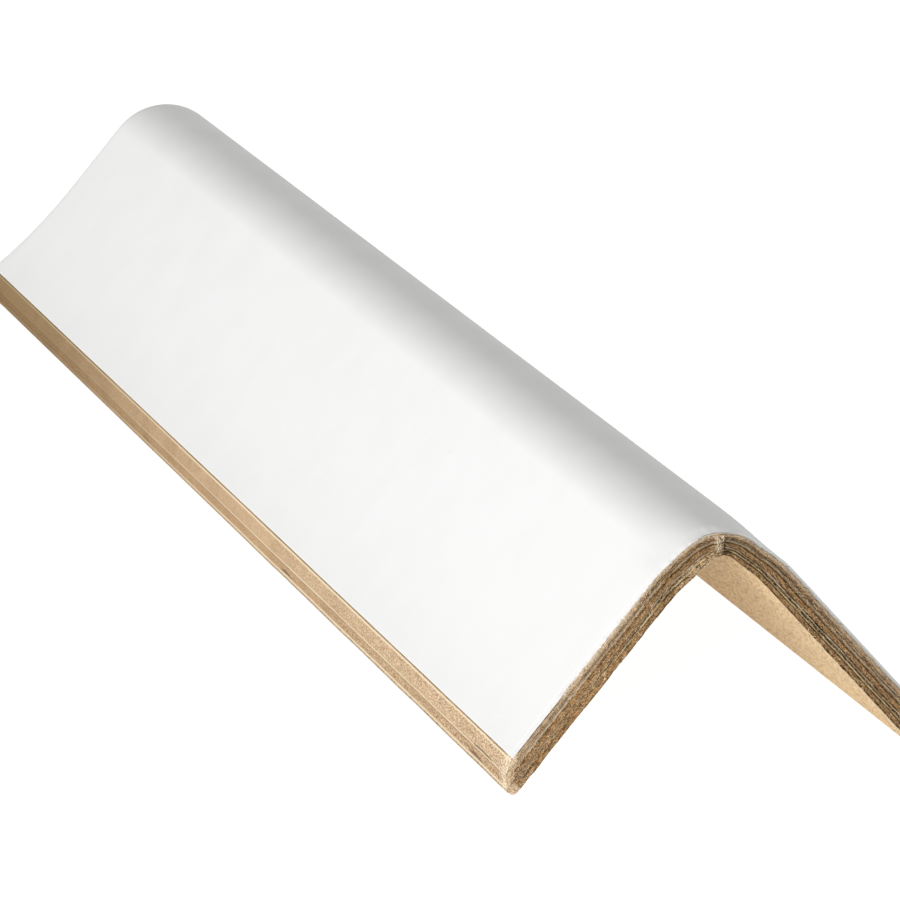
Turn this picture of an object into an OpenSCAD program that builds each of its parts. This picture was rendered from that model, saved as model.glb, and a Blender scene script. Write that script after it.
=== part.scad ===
// Pallet edge protector: an angle of laminated paperboard with a white facing paper on its
// outer side. It stands as a roof on the tips of its two legs. X runs across the two legs,
// Y along the length with the clean cut end at -Y, and Z points up through the bend.
// The origin is the middle of the footprint, on the floor.

/* [Angle] */
// Width of each leg, from the sharp outer corner to the tip
leg_w = 50; // [40:1:80]
// Angle between the two legs, in degrees
opening_angle = 82.3; // [76:0.1:96]
// Outer radius of the bend
bend_r = 10.8; // [9:0.1:15]
// Length of the piece along its bend
board_l = 300; // [150:5:1200]

/* [Laminate] */
// Thickness of the white facing paper
facing_t = 0.46; // [0.2:0.02:0.8]
// Thickness of one kraft ply
ply_t = 0.77; // [0.6:0.01:0.9]
// Number of kraft plies in the stack
ply_count = 5; // [4:1:6]
// How far every second ply stands back from the cut ends
ply_setback = 0.25; // [0.1:0.05:0.6]

/* [Long edges] */
// How far the facing and the outermost ply stop short of the tip
edge_slope_w = 4.2; // [2.6:0.1:6]
// How far the crease between the gentle and the steep part of the slope lies short of the tip
edge_crease_w = 1.8; // [1.2:0.1:2.2]
// How far the inner plies stand out past the foot of the slope
tip_ledge = 0.5; // [0.2:0.05:0.9]
// Number of outer plies that make up the slope
sloped_plies = 3; // [2:1:3]

/* [Far end] */
// How far the cut runs out along the edge of the left leg
runout = 6.4; // [2:0.1:12]
// Distance from the outer corner at which the cut begins to run out
runout_start = 25; // [18:0.5:32]

/* [Hidden] */
$fn = 96;

half_angle = opening_angle / 2;
board_t = facing_t + ply_count * ply_t;

// The legs run straight from this distance below the outer corner
tangent_s = bend_r / tan(half_angle);
// Depth of the foot of the slope on a long edge
slope_foot = facing_t + sloped_plies * ply_t;
facing_edge_s = leg_w - edge_slope_w;
// The innermost ply is rolled over at the tip
lip_r = ply_t;

// Height of the sharp outer corner when the two rolled tips touch the floor
corner_z = (leg_w - lip_r) * cos(half_angle) + (board_t - lip_r) * sin(half_angle) + lip_r;
bend_centre_z = corner_z - bend_r / sin(half_angle);

// The far end is cut square as far as runout_start, then along an arc to the facing's edge
overall_l = board_l + runout;
near_y = -overall_l / 2;
square_y = near_y + board_l;
runout_r = (pow(facing_edge_s - runout_start, 2) + pow(runout, 2)) / (2 * runout);

// The bend runs a hair into both legs, in degrees, so that each layer is one solid
bend_overlap = 0.3;

// Cutting shapes reach past everything that they trim
cut_reach = 2 * leg_w;
cut_margin = 1;

// Depth of the upper face of a kraft ply, counted from the facing inwards
function ply_depth(ply) = facing_t + ply * ply_t;

// Distance from the outer corner to the slope on a long edge, at a depth below the outer face
function slope_s(depth) = lookup(depth, [
    [facing_t, facing_edge_s],
    [ply_depth(1), leg_w - edge_crease_w],
    [slope_foot, leg_w - tip_ledge]
]);

// Every second ply is torn a little shorter than its neighbours
function setback(ply) = ply % 2 == 1 ? ply_setback : 0;

// Places a flat shape drawn as (distance from the outer corner, depth) on the left leg
module in_left_leg() {
    translate([0, corner_z]) rotate(270 - half_angle) children();
}

// Places a solid drawn as (distance from the outer corner, length, depth) on the left leg
module on_left_leg() {
    translate([0, 0, corner_z]) rotate([0, 90 + half_angle, 0]) children();
}

// Straight part of one layer in the left leg, cut on the slope or square at the tip
module leg_strip(top, bottom) {
    sloped = (top + bottom) / 2 < slope_foot;
    polygon([
        [tangent_s, top],
        [sloped ? slope_s(top) : leg_w, top],
        [sloped ? slope_s(bottom) : leg_w, bottom],
        [tangent_s, bottom]
    ]);
}

// Straight part of the innermost ply, rolled over at the tip
module rolled_leg_strip(top, bottom) {
    translate([tangent_s, top]) square([leg_w - lip_r - tangent_s, bottom - top]);
    translate([leg_w - lip_r, top]) intersection() {
        circle(lip_r);
        square(lip_r);
    }
}

// One layer where it turns round the bend
module bend_strip(top, bottom) {
    half_turn = 90 - half_angle + bend_overlap;
    reach = 2 * bend_r / cos(half_turn);
    translate([0, bend_centre_z]) intersection() {
        difference() {
            circle(bend_r - top);
            circle(bend_r - bottom);
        }
        polygon([
            [0, 0],
            [reach * sin(half_turn), reach * cos(half_turn)],
            [-reach * sin(half_turn), reach * cos(half_turn)]
        ]);
    }
}

// Draws a flat cross-section out from the near end to past the far end
module along_length(back) {
    translate([0, near_y + overall_l, 0]) rotate([90, 0, 0])
        linear_extrude(overall_l - back) children();
}

// What the cut at the far end leaves, seen square on to the left leg
module far_cut_outline() {
    kept_l = overall_l + cut_margin;
    translate([-cut_reach, -kept_l]) square([cut_reach + runout_start, kept_l]);
    difference() {
        translate([runout_start, -kept_l])
            square([leg_w + cut_margin - runout_start, kept_l + runout]);
        translate([runout_start, runout_r]) circle(runout_r);
    }
}

// One layer of the board, set back from both cut ends
module layer(top, bottom, back = 0, rolled = false) {
    intersection() {
        union() {
            along_length(back) bend_strip(top, bottom);
            for (side = [0, 1]) mirror([side, 0, 0]) along_length(back) in_left_leg()
                if (rolled) rolled_leg_strip(top, bottom);
                else leg_strip(top, bottom);
        }
        on_left_leg() translate([0, square_y - back, -cut_margin])
            linear_extrude(cut_reach) far_cut_outline();
    }
}

// White paper glued over the whole outer side
module white_facing() {
    color("#f3f3f0") layer(0, facing_t);
}

// Stack of kraft plies, glued into one stiff board
module kraft_board() {
    color("#b48d5c")
        for (ply = [0 : ply_count - 1])
            layer(ply_depth(ply), ply_depth(ply + 1), setback(ply), ply == ply_count - 1);
}

white_facing();
kraft_board();
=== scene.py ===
"""Dressed model of a pallet edge protector: an angle of laminated paperboard under a white facing paper.

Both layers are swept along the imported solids' own cross-section and cut back at the ends as a saw
leaves paperboard: plies of uneven length, broken glue lines, a torn fold and loose fibres. Sizes are in
millimetres unless a name says otherwise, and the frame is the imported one: X across the legs, Y along the
bend, Z up.
"""
import logging
import math
from dataclasses import dataclass, field
from enum import Enum, IntEnum
from typing import Any, ClassVar, Optional, Union

import bpy
import numpy as np
from mathutils import Matrix, Vector


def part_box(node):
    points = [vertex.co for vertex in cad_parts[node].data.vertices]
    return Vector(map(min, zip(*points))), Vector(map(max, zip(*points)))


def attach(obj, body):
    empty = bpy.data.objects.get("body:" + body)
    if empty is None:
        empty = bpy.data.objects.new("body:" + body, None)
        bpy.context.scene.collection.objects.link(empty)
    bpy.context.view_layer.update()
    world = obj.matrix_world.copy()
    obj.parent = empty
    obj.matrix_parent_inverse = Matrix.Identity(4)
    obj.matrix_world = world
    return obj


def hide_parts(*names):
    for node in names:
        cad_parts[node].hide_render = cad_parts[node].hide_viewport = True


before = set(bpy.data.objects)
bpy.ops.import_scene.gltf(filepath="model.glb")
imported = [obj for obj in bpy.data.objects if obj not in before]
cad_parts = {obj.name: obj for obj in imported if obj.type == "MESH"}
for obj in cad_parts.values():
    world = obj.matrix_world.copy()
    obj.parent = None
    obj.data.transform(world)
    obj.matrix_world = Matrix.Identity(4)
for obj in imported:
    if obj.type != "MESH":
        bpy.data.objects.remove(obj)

LOG = logging.getLogger("edge_protector")
MM = 0.001
TINY = 1e-12
BODY = "root"
BOARD_MAP = "board"
TONE_MAP = "tone"

Array = np.ndarray
Colour = tuple[float, float, float]


class Layer(Enum):
    """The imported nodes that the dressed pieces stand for, with their material slots."""

    FACING = ("white_facing", "facing_paper")
    KRAFT = ("kraft_board", "kraft_board")

    @property
    def node(self) -> str:
        """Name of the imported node."""
        return self.value[0]

    @property
    def slot(self) -> str:
        """Name of the record's material slot."""
        return self.value[1]


class End(Enum):
    """The two cut ends of the board, by the direction that their cut face looks."""

    NEAR = -1
    FAR = 1


class Side(IntEnum):
    """The kinds of side that a layer shows, in the order of its finishes."""

    FACE = 0
    EDGE = 1
    CUT = 2


def bell(at: Array, centre: float, width: float) -> Array:
    """Smooth bump of height 1 round a centre."""
    return np.exp(-(((at - centre) / width) ** 2))


def ramp(at: Array, low: float, high: float) -> Array:
    """Smooth step from 0 at low to 1 at high."""
    t = np.clip((at - low) / (high - low), 0.0, 1.0)
    return t * t * (3.0 - 2.0 * t)


def unit(vectors: Array) -> Array:
    """Vectors drawn out to length 1."""
    return vectors / (np.linalg.norm(vectors, axis=-1, keepdims=True) + TINY)


class Grain:
    """Seeded smooth noise over a flat sheet, from -1 to 1."""

    CELLS = 256
    OCTAVE_SHIFT = (17.3, 5.7)

    def __init__(self, seed: int) -> None:
        """Draw the lattice of values."""
        self.lattice = np.random.default_rng(seed).uniform(-1.0, 1.0, (self.CELLS, self.CELLS))

    def at(self, u: Array, v: Array) -> Array:
        """Noise with features about one unit across.

        Args:
            u: first coordinate.
            v: second coordinate, of a shape that goes with u's.

        Returns:
            Values from -1 to 1.
        """
        u, v = np.broadcast_arrays(np.asarray(u, float), np.asarray(v, float))
        cell_u, cell_v = np.floor(u).astype(int), np.floor(v).astype(int)
        fu, fv = u - cell_u, v - cell_v
        fu, fv = fu * fu * (3 - 2 * fu), fv * fv * (3 - 2 * fv)

        def corner(du: int, dv: int) -> Array:
            """Lattice value at one corner of each point's cell."""
            return self.lattice[(cell_u + du) % self.CELLS, (cell_v + dv) % self.CELLS]

        low = corner(0, 0) * (1 - fu) + corner(1, 0) * fu
        high = corner(0, 1) * (1 - fu) + corner(1, 1) * fu
        return low * (1 - fv) + high * fv

    def rough(self, u: Array, v: Array, octaves: int = 3) -> Array:
        """Noise with finer noise on it.

        Args:
            u: first coordinate.
            v: second coordinate.
            octaves: number of layers, each of half the size and strength of the one before.

        Returns:
            Values from about -1 to 1.
        """
        total, weight = 0.0, 0.0
        for octave in range(octaves):
            scale, share = 2.0**octave, 0.5**octave
            finer_u, finer_v = (np.asarray(at) * scale + shift * octave
                                for at, shift in zip((u, v), self.OCTAVE_SHIFT))
            total = total + share * self.at(finer_u, finer_v)
            weight += share
        return total / weight


@dataclass(frozen=True)
class Section:
    """Cross-section of the angle, by run along the middle of the board and depth below its outer face.

    The run is 0 at the top of the bend and negative on the left leg.
    """

    leg_w: float = 50.0
    half_angle: float = math.radians(41.15)
    bend_r: float = 10.8
    facing_t: float = 0.46
    ply_t: float = 0.77
    ply_count: int = 5
    edge_slope_w: float = 4.2
    edge_crease_w: float = 1.8
    tip_ledge: float = 0.5
    sloped_plies: int = 3
    ledge_round: float = 0.12
    runout: float = 6.4
    runout_start: float = 25.0

    @property
    def board_t(self) -> float:
        """Thickness of the facing and all plies."""
        return self.facing_t + self.ply_count * self.ply_t

    @property
    def tangent_s(self) -> float:
        """Distance from the sharp outer corner at which the legs run straight."""
        return self.bend_r / math.tan(self.half_angle)

    @property
    def mid_r(self) -> float:
        """Radius of the bend in the middle of the board."""
        return self.bend_r - self.board_t / 2

    @property
    def bend_run(self) -> float:
        """Run at which the bend meets a leg."""
        return (math.pi / 2 - self.half_angle) * self.mid_r

    @property
    def facing_edge_s(self) -> float:
        """Distance from the outer corner to the facing's long edge."""
        return self.leg_w - self.edge_slope_w

    @property
    def leg_run(self) -> float:
        """Run of a leg from the bend to the facing's long edge."""
        return self.run_at(self.facing_edge_s) - self.bend_run

    @property
    def lip_r(self) -> float:
        """Radius of the innermost ply where it is rolled over at the tip."""
        return self.ply_t

    @property
    def bend_centre_z(self) -> float:
        """Height of the bend's centre with both rolled tips on the floor."""
        cos, sin = math.cos(self.half_angle), math.sin(self.half_angle)
        corner_z = (self.leg_w - self.lip_r) * cos + (self.board_t - self.lip_r) * sin + self.lip_r
        return corner_z - self.bend_r / sin

    @property
    def slope_foot(self) -> float:
        """Depth at which the slope of a long edge ends on the ledge of the inner plies."""
        return self.ply_depth(self.sloped_plies)

    def ply_depth(self, ply: float) -> float:
        """Depth of the upper face of a kraft ply."""
        return self.facing_t + ply * self.ply_t

    def run_at(self, distance: Array) -> Array:
        """Run of a place on a leg, from its distance to the outer corner."""
        return distance - self.tangent_s + self.bend_run

    def distance_at(self, run: Array) -> Array:
        """Distance from the outer corner of a place on a leg, from its run."""
        return np.abs(run) - self.bend_run + self.tangent_s

    def edge_s(self, depth: Array) -> Array:
        """Distance from the outer corner to a leg's long edge.

        Args:
            depth: depth below the outer face.

        Returns:
            The gentle slope to the crease, the steep one to the ledge and the rolled lip at the tip.
        """
        depths = (self.facing_t, self.ply_depth(1), self.slope_foot, self.slope_foot + self.ledge_round)
        short = (self.edge_slope_w, self.edge_crease_w, self.tip_ledge, 0.0)
        drop = np.clip(depth - (self.board_t - self.lip_r), 0.0, self.lip_r)
        rolled = self.lip_r - np.sqrt(self.lip_r**2 - drop**2)
        return self.leg_w - np.interp(depth, depths, short) - rolled

    def place(self, run: Array, depth: Array) -> tuple[Array, Array]:
        """Where a place of the section stands.

        Args:
            run: run along the middle of the board.
            depth: depth below the outer face.

        Returns:
            The X and Z of the place.
        """
        turn = np.clip(run, -self.bend_run, self.bend_run)
        angle, radius, straight = turn / self.mid_r, self.bend_r - depth, run - turn
        x = radius * np.sin(angle) + straight * math.sin(self.half_angle)
        z = self.bend_centre_z + radius * np.cos(angle) - np.abs(straight) * math.cos(self.half_angle)
        return x, z


@dataclass(frozen=True)
class Fold:
    """How the cut end is pinched where the board was folded: a raised crest between two dips."""

    reach: float = 9.0
    crest_at: float = -1.0
    crest_w: float = 1.7
    outer_crest: float = 0.10
    inner_crest: float = 0.85
    inner_crest_at: float = 0.5
    inner_crest_w: float = 2.3
    dip_w: float = 2.5
    left_dip_at: float = -6.1
    right_dip_at: float = 5.8
    outer_dips: tuple[float, float] = (0.40, 0.62)
    inner_dips: tuple[float, float] = (0.48, 0.22)

    def sink(self, section: Section, run: Array, depth: Array, along: Array) -> Array:
        """How much deeper than its plain depth a place lies.

        Args:
            section: the board's cross-section.
            run: run along the middle of the board.
            depth: plain depth below the outer face.
            along: distance from the near end.

        Returns:
            Extra depth, negative on the crest.
        """
        left, right = bell(run, self.left_dip_at, self.dip_w), bell(run, self.right_dip_at, self.dip_w)
        outer = self.outer_dips[0] * left + self.outer_dips[1] * right
        outer = outer - self.outer_crest * bell(run, self.crest_at, self.crest_w)
        inner = self.inner_dips[0] * left + self.inner_dips[1] * right
        inner = inner - self.inner_crest * bell(run, self.inner_crest_at, self.inner_crest_w)
        share = np.clip((depth - section.facing_t) / (section.board_t - section.facing_t), 0.0, 1.0)
        return (outer * (1 - share) + inner * share) * np.exp(-((along / self.reach) ** 2))


@dataclass(frozen=True)
class Blank:
    """The board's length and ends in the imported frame, with the section that is swept between them."""

    section: Section
    fold: Fold
    near_y: float
    far_y: float

    @classmethod
    def from_frame(cls) -> "Blank":
        """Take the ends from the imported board."""
        low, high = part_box(Layer.KRAFT.node)
        return cls(Section(), Fold(), low.y / MM, high.y / MM)

    @property
    def length(self) -> float:
        """Length over the longest run."""
        return self.far_y - self.near_y

    def far_end(self, run: Array) -> Array:
        """Y of the far cut.

        Args:
            run: run along the middle of the board.

        Returns:
            The square cut, and the arc along which it runs out on the left leg.
        """
        section = self.section
        square_y = self.far_y - section.runout
        span = section.facing_edge_s - section.runout_start
        radius = (span**2 + section.runout**2) / (2 * section.runout)
        beyond = np.clip(section.distance_at(run) - section.runout_start, 0.0, span)
        rise = radius - np.sqrt(radius**2 - beyond**2)
        return square_y + np.where(run < 0, rise, 0.0)

    def cut_y(self, end: End, run: Array, back: Array) -> Array:
        """Y of places that stand back from one of the cuts."""
        return self.near_y + back if end is End.NEAR else self.far_end(run) - back

    def swept_y(self, run: Array, along: Array) -> Array:
        """Y of rings between the cuts, from their distance to the near end on the longest run."""
        return self.near_y + along * (self.far_end(run) - self.near_y) / self.length

    def stand(self, run: Array, depth: Array, y: Array) -> Array:
        """Points of the board in the frame.

        Args:
            run: run along the middle of the board.
            depth: plain depth below the outer face.
            y: place along the length.

        Returns:
            Coordinates in metres, on a last axis of three.
        """
        run, depth, y = np.broadcast_arrays(run, depth, y)
        x, z = self.section.place(run, depth + self.fold.sink(self.section, run, depth, y - self.near_y))
        return np.stack([x, y, z], -1) * MM

    def sheet_map(self, run: Array, depth: Array, y: Array) -> Array:
        """Coordinates that the finishes read: run, distance from the near end and plain depth."""
        run, depth, y = np.broadcast_arrays(run, depth, y)
        return np.stack([run, y - self.near_y, depth], -1)


@dataclass(frozen=True)
class Nick:
    """A small bite out of a long edge."""

    along: float
    depth: float
    half_l: float
    half_h: float
    bite: float
    shade: float = 0.8


Value = Union["Signal", float]


class Signal:
    """One output of a shader node, on which arithmetic adds Math nodes."""

    def __init__(self, graph: "Graph", socket: bpy.types.NodeSocket) -> None:
        """Keep the graph and the socket."""
        self.graph, self.socket = graph, socket

    def _math(self, operation: str, first: Value, second: Value) -> "Signal":
        """Add a Math node for two values."""
        return self.graph.signal("ShaderNodeMath", {"operation": operation}, {0: first, 1: second})

    def __add__(self, other: Value) -> "Signal":
        """Sum."""
        return self._math("ADD", self, other)

    def __radd__(self, other: Value) -> "Signal":
        """Sum with a number first."""
        return self._math("ADD", other, self)

    def __sub__(self, other: Value) -> "Signal":
        """Difference."""
        return self._math("SUBTRACT", self, other)

    def __rsub__(self, other: Value) -> "Signal":
        """Difference from a number."""
        return self._math("SUBTRACT", other, self)

    def __mul__(self, other: Value) -> "Signal":
        """Product."""
        return self._math("MULTIPLY", self, other)

    def __rmul__(self, other: Value) -> "Signal":
        """Product with a number first."""
        return self._math("MULTIPLY", other, self)

    def __or__(self, other: Value) -> "Signal":
        """The larger of two values, as masks are joined."""
        return self._math("MAXIMUM", self, other)

    def __ror__(self, other: Value) -> "Signal":
        """The larger of two values with a number first."""
        return self._math("MAXIMUM", other, self)

    def rise(self, low: float, high: float) -> "Signal":
        """Smooth step.

        Args:
            low: value below which it is 0.
            high: value above which it is 1.

        Returns:
            The step.
        """
        settings = {"interpolation_type": "SMOOTHSTEP", "clamp": True}
        sockets = {"Value": self, "From Min": low, "From Max": high}
        return self.graph.signal("ShaderNodeMapRange", settings, sockets)

    def band(self, centre: float, half: float) -> "Signal":
        """Soft mask that is 1 at a centre and 0 further than half from it."""
        return self.rise(centre - half, centre) * (1 - self.rise(centre, centre + half))


class Graph:
    """The nodes of one material or of the world."""

    def __init__(self, owner: Union[bpy.types.Material, bpy.types.World]) -> None:
        """Start with an empty tree.

        Args:
            owner: the material or the world.
        """
        owner.use_nodes = True
        self.tree = owner.node_tree
        self.tree.nodes.clear()

    def node(self, kind: str, settings: Optional[dict] = None,
             sockets: Optional[dict] = None) -> bpy.types.Node:
        """Add a node.

        Args:
            kind: the node's type.
            settings: its properties, set first; a ramp's stops are pairs of place and colour.
            sockets: values or links of its inputs, by name or index.

        Returns:
            The new node.
        """
        made = self.tree.nodes.new(kind)
        for name, value in (settings or {}).items():
            if name == "stops":
                self._set_stops(made.color_ramp, value)
            else:
                setattr(made, name, value)
        for name, value in (sockets or {}).items():
            if isinstance(value, Signal):
                self.tree.links.new(value.socket, made.inputs[name])
            elif isinstance(value, bpy.types.NodeSocket):
                self.tree.links.new(value, made.inputs[name])
            else:
                made.inputs[name].default_value = value
        return made

    @staticmethod
    def _set_stops(colours: bpy.types.ColorRamp, stops: list[tuple[float, Colour]]) -> None:
        """Replace a ramp's stops.

        Args:
            colours: the ramp.
            stops: pairs of place and colour.
        """
        while len(colours.elements) < len(stops):
            colours.elements.new(1.0)
        for element, (at, colour) in zip(colours.elements, stops):
            element.position = at
            element.color = (*colour, 1.0)

    def signal(self, kind: str, settings: Optional[dict] = None, sockets: Optional[dict] = None,
               output: Union[str, int] = 0) -> Signal:
        """Add a node and take one of its outputs."""
        return Signal(self, self.node(kind, settings, sockets).outputs[output])

    def board_map(self) -> tuple[Signal, Signal, Signal, Signal]:
        """The sheet's own coordinates.

        Returns:
            The vector, and its run, distance from the near end and depth.
        """
        settings = {"attribute_type": "GEOMETRY", "attribute_name": BOARD_MAP}
        vector = self.signal("ShaderNodeAttribute", settings, output="Vector")
        parts = self.node("ShaderNodeSeparateXYZ", None, {0: vector})
        return (vector, *(Signal(self, parts.outputs[axis]) for axis in range(3)))

    def stretch(self, vector: Signal, by: tuple[float, float, float], shift: float = 0.0) -> Signal:
        """Scale a vector axis by axis, then shift it along the diagonal."""
        sockets = {0: vector, 1: by, 2: (shift, shift, shift)}
        return self.signal("ShaderNodeVectorMath", {"operation": "MULTIPLY_ADD"}, sockets)

    def noise(self, vector: Signal, scale: float, detail: float = 2.0, roughness: float = 0.5) -> Signal:
        """Noise from about 0 to 1."""
        sockets = {"Vector": vector, "Scale": scale, "Detail": detail, "Roughness": roughness}
        return self.signal("ShaderNodeTexNoise", {"noise_dimensions": "3D"}, sockets)

    def mix(self, share: Value, first: Any, second: Any, how: str = "MIX") -> Signal:
        """Mix two colours.

        Args:
            share: share of the second colour.
            first: the first colour, a signal or a value.
            second: the second colour.
            how: the way of mixing.

        Returns:
            The mixed colour.
        """
        settings = {"data_type": "RGBA", "blend_type": how, "clamp_factor": True}
        pair = [(*c, 1.0) if isinstance(c, tuple) else c for c in (first, second)]
        return self.signal("ShaderNodeMix", settings, {0: share, 6: pair[0], 7: pair[1]}, output=2)

    def shade(self, colour: Signal, by: Value) -> Signal:
        """Multiply a colour by a value."""
        grey = self.signal("ShaderNodeCombineColor", None, {0: by, 1: by, 2: by})
        return self.mix(1.0, colour, grey, "MULTIPLY")

    def bump(self, height: Signal, distance_mm: float, strength: float = 1.0) -> Signal:
        """Turn a height into a normal."""
        sockets = {"Height": height, "Distance": distance_mm * MM, "Strength": strength}
        return self.signal("ShaderNodeBump", None, sockets)

    def blend(self, share: Signal, first: bpy.types.Node, second: bpy.types.Node) -> bpy.types.Node:
        """Mix two shaders."""
        sockets = {0: share, 1: first.outputs[0], 2: second.outputs[0]}
        return self.node("ShaderNodeMixShader", None, sockets)

    def surface(self, shader: bpy.types.Node) -> None:
        """Make a shader the surface."""
        self.node("ShaderNodeOutputMaterial", None, {"Surface": shader.outputs[0]})

    def dress(self, colour: Signal, roughness: Value, specular: float,
              normal: Optional[Signal] = None) -> None:
        """Make a paper's shader the surface.

        Args:
            colour: the paper's colour.
            roughness: its roughness, even or not.
            specular: strength of its sheen.
            normal: the relief, where it has one.
        """
        sockets = {"Base Color": colour, "Roughness": roughness, "Specular IOR Level": specular}
        if normal is not None:
            sockets["Normal"] = normal
        self.surface(self.node("ShaderNodeBsdfPrincipled", None, sockets))


@dataclass(frozen=True)
class FacingPaper:
    """Coated white liner paper: nearly even, faintly clouded, with a soft sheen."""

    name: str = "facing_paper"
    white: Colour = (0.88, 0.888, 0.89)
    clouded: Colour = (0.868, 0.875, 0.874)
    fleck: Colour = (0.5, 0.5, 0.48)
    cloud_per_mm: float = 0.09
    grain_per_mm: float = 1.6
    fleck_per_mm: float = 0.11
    fleck_r: tuple[float, float] = (0.012, 0.03)
    fleck_shown: float = 0.25
    grain_height: float = 0.02
    roughness: tuple[float, float] = (0.52, 0.64)
    specular: float = 0.22

    def material(self) -> bpy.types.Material:
        """Build the paper's nodes.

        Returns:
            The material.
        """
        made = bpy.data.materials.new(self.name)
        graph = Graph(made)
        vector = graph.board_map()[0]
        cloud = graph.noise(vector, self.cloud_per_mm, 4.0, 0.6)
        grain = graph.noise(vector, self.grain_per_mm, 3.0, 0.6)
        sockets = {"Vector": vector, "Scale": self.fleck_per_mm}
        cells = graph.signal("ShaderNodeTexVoronoi", {"feature": "F1"}, sockets, "Distance")
        spot = 1 - cells.rise(*self.fleck_r)
        colour = graph.mix(cloud.rise(0.3, 0.75), self.white, self.clouded)
        colour = graph.mix(spot * grain.rise(0.45, 0.62) * self.fleck_shown, colour, self.fleck)
        low, high = self.roughness
        rough = low + (high - low) * cloud.rise(0.2, 0.8)
        graph.dress(colour, rough, self.specular, graph.bump(grain + 0.5 * cloud, self.grain_height))
        return made


@dataclass(frozen=True)
class FacingCut:
    """The facing's sawn edge: clean white at the left corner, dusty with kraft where it is frayed, painted
    grey as shade across the fold and on the right leg.
    """

    name: str = "facing_cut"
    # The cut's white is darker than the facing paper's, as painted shade on the lit cut.
    white: Colour = (0.755, 0.755, 0.748)
    # Grey and pale are the white paper painted as shade, on the fold and the right leg.
    grey: Colour = (0.455, 0.465, 0.45)
    pale: Colour = (0.60, 0.62, 0.60)
    rosy: Colour = (0.50, 0.40, 0.31)
    clean_step: float = 0.4
    speckle_per_mm: float = 3.2
    relief: float = 0.05
    roughness: float = 0.85
    specular: float = 0.2

    def material(self, clean_from: float) -> bpy.types.Material:
        """Build the edge's nodes.

        Args:
            clean_from: run at which the clean part of the cut ends.

        Returns:
            The material.
        """
        made = bpy.data.materials.new(self.name)
        graph = Graph(made)
        vector, run, _, depth = graph.board_map()
        speckle = graph.noise(graph.stretch(vector, (1.0, 0.0, 1.0)), self.speckle_per_mm, 3.0, 0.7)
        frayed = run.rise(clean_from - self.clean_step, clean_from + self.clean_step)
        # Painted shade: grey from the fold rightwards, lighter near the outer face on the right leg.
        colour = graph.mix(run.rise(-3.0, -1.2), self.white, self.grey)
        colour = graph.mix(run.rise(1.0, 3.0) * (1 - depth.rise(0.12, 0.26)), colour, self.pale)
        dusty = frayed * (depth + 0.35 * (speckle - 0.5)).rise(0.32, 0.5)
        colour = graph.mix(dusty * speckle.rise(0.35, 0.55), colour, self.rosy)
        graph.dress(colour, self.roughness, self.specular, graph.bump(speckle, self.relief))
        return made


@dataclass(frozen=True)
class PaperSignals:
    """What the lines of a long edge read: places on the sheet, its speckle and how crisp that shows."""

    run: Signal
    along: Signal
    depth: Signal
    speckle: Signal
    crisp: Signal


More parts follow.
